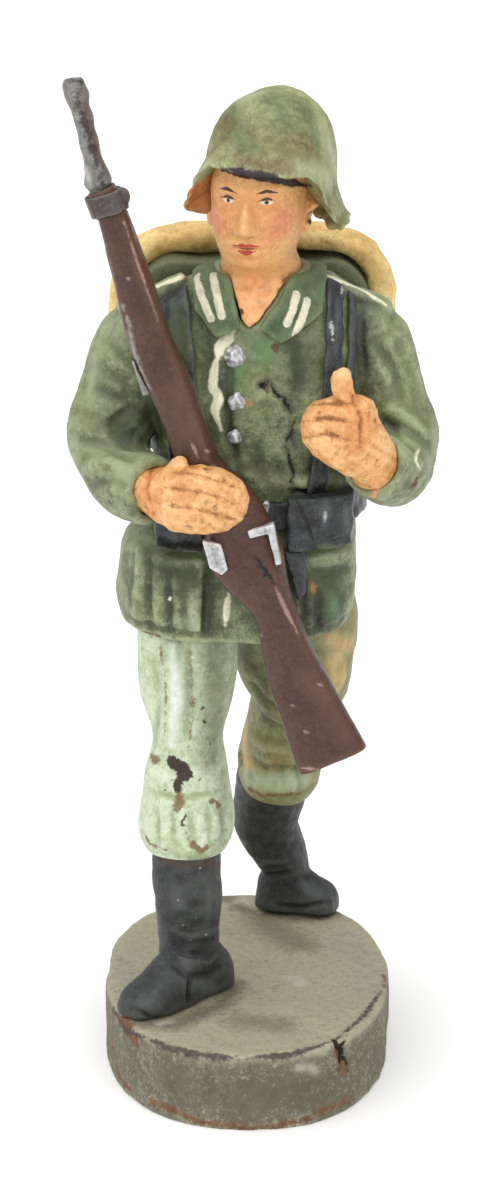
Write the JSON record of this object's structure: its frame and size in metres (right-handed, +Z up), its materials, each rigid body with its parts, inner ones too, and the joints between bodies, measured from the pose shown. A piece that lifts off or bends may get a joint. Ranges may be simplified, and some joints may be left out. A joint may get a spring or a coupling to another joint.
{
  "type": "painted toy figure on a plinth",
  "caption": "Hand-painted composition toy soldier striding on an oval plinth, with helmet, rifle across the chest, belt pouches, and a knapsack with a blanket roll.",
  "frame": {"origin": "centre of the plinth's underside", "axes": "+Z up along the standing figure; the figure looks along -Y; its left hand is on the +X side"},
  "size_m": [0.0281, 0.0316, 0.0791],
  "materials": {
    "plinth_paint": "matt paint",
    "boot_paint": "matt paint",
    "trouser_paint": "matt paint",
    "coat_paint": "matt paint",
    "flesh_paint": "satin paint",
    "helmet_paint": "matt paint",
    "strap_paint": "satin paint",
    "silver_paint": "aluminium paint",
    "pack_paint": "matt paint",
    "blanket_paint": "matt paint",
    "stock_paint": "satin paint",
    "barrel_metal": "aluminium paint, rust spots",
    "iron_wire": "bare"
  },
  "bodies": {
    "root": {"plinth": "plinth_paint", "right_boot": "boot_paint", "left_boot": "boot_paint", "right_trouser_leg": "trouser_paint", "left_trouser_leg": "trouser_paint", "tunic_skirt": "coat_paint", "tunic_body": "coat_paint", "collar": "coat_paint", "right_sleeve": "coat_paint", "left_sleeve": "coat_paint", "right_hand": "flesh_paint", "left_hand": "flesh_paint", "head": "flesh_paint", "helmet": "helmet_paint", "belt": "strap_paint", "belt_buckle": "silver_paint", "right_pouches": "strap_paint", "left_pouches": "strap_paint", "right_strap": "strap_paint", "left_strap": "strap_paint", "left_pack_strap": "strap_paint", "right_epaulette": "coat_paint", "left_epaulette": "coat_paint", "coat_buttons": "silver_paint", "scabbard": "strap_paint", "knapsack": "pack_paint", "blanket_roll": "blanket_paint", "roll_straps": "strap_paint", "rifle_stock": "stock_paint", "rifle_barrel": "barrel_metal", "rifle_nose_band": "barrel_metal", "rifle_bolt": "silver_paint", "rifle_trigger_guard": "silver_paint", "rifle_rear_sight": "silver_paint", "right_leg_wire": "iron_wire", "left_leg_wire": "iron_wire", "spine_wire": "iron_wire", "right_arm_wire": "iron_wire", "left_arm_wire": "iron_wire", "knapsack_pegs": "iron_wire"}
  },
  "joints": []
}
